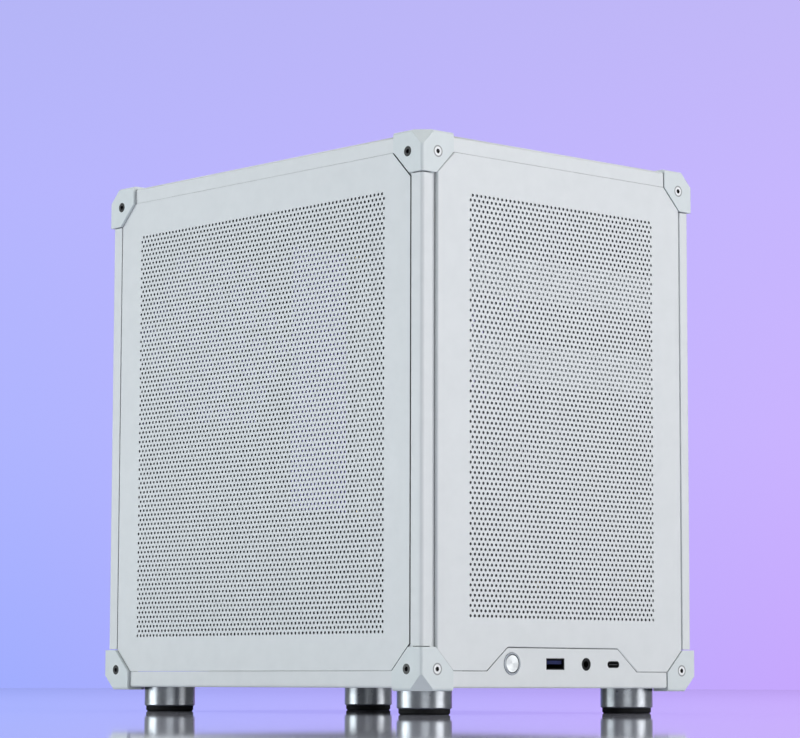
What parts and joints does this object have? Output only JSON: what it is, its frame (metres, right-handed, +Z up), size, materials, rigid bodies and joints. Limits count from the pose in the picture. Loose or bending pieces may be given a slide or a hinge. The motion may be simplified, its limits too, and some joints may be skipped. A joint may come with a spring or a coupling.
{
  "type": "micro atx pc case",
  "caption": "Compact upright computer case with capped corners, perforated pull-off panels, front sockets and round feet, open inside for a small board.",
  "frame": {"origin": "on the surface it stands on, under the middle of the case", "axes": "+Z up, -Y the front with the power button, +X the side of the motherboard tray"},
  "size_m": [0.202, 0.265, 0.2965],
  "materials": {
    "white_paint": "satin powder coat",
    "corner_cap": "fine satin",
    "dark_screw": "black oxide",
    "white_screw": "white paint",
    "steel": "plain",
    "brass": "turned",
    "nylon": "natural",
    "foot_metal": "turned",
    "rubber": "matt",
    "button_metal": "circular brushed",
    "blue_plastic": "moulded",
    "board": "solder mask",
    "black_plastic": "moulded"
  },
  "bodies": {
    "chassis": {"ac_inlet": "black_plastic", "audio_jack": "black_plastic", "board_screws": "dark_screw", "bottom_pan": "white_paint", "bracket_screws": "dark_screw", "button_housing": "black_plastic", "cap_bottom_front_left": "corner_cap", "cap_bottom_front_right": "corner_cap", "cap_bottom_rear_left": "corner_cap", "cap_bottom_rear_right": "corner_cap", "cap_screws_end": "white_screw", "cap_screws_side": "dark_screw", "cap_top_front_left": "corner_cap", "cap_top_front_right": "corner_cap", "cap_top_rear_left": "corner_cap", "cap_top_rear_right": "corner_cap", "drive_bracket": "white_paint", "foot_pads": "rubber", "foot_rings": "foot_metal", "foot_screws": "steel", "front_clips": "nylon", "inlet_pins": "steel", "inlet_screws": "dark_screw", "left_clips": "nylon", "motherboard_tray": "white_paint", "post_front_left": "white_paint", "post_front_right": "white_paint", "post_rear_left": "white_paint", "post_rear_right": "white_paint", "power_switch": "black_plastic", "rail_lower": "white_paint", "rail_upper": "white_paint", "rear_panel": "white_paint", "right_clips": "nylon", "slot_cover_1": "white_paint", "slot_cover_2": "white_paint", "slot_cover_3": "white_paint", "slot_cover_4": "white_paint", "slot_rail": "white_paint", "slot_screws": "dark_screw", "socket_board": "board", "standoffs": "brass", "supply_bracket": "white_paint", "top_clips": "nylon", "top_frame": "white_paint", "usb_a_shell": "steel", "usb_a_tongue": "blue_plastic", "usb_c_socket": "steel"},
    "left_panel": {"left_panel": "white_paint", "left_panel_studs": "steel"},
    "right_panel": {"right_panel": "white_paint", "right_panel_studs": "steel"},
    "front_panel": {"front_panel": "white_paint", "front_panel_studs": "steel"},
    "top_cover": {"top_cover": "white_paint", "top_cover_studs": "steel"},
    "power_button": {"power_button": "button_metal"}
  },
  "joints": [
    {"name": "left_panel_pull", "type": "slide", "parent": "chassis", "child": "left_panel", "axis": [-1, 0, 0], "range_m": [0, 0.05]},
    {"name": "right_panel_pull", "type": "slide", "parent": "chassis", "child": "right_panel", "axis": [1, 0, 0], "range_m": [0, 0.05]},
    {"name": "front_panel_pull", "type": "slide", "parent": "chassis", "child": "front_panel", "axis": [0, -1, 0], "range_m": [0, 0.05]},
    {"name": "top_cover_lift", "type": "slide", "parent": "chassis", "child": "top_cover", "axis": [0, 0, 1], "range_m": [0, 0.05]},
    {"name": "power_button_press", "type": "slide", "parent": "chassis", "child": "power_button", "axis": [0, 1, 0], "range_m": [0, 0.0008], "stiffness_N_per_m": 1000, "springref_m": -0.001}
  ]
}
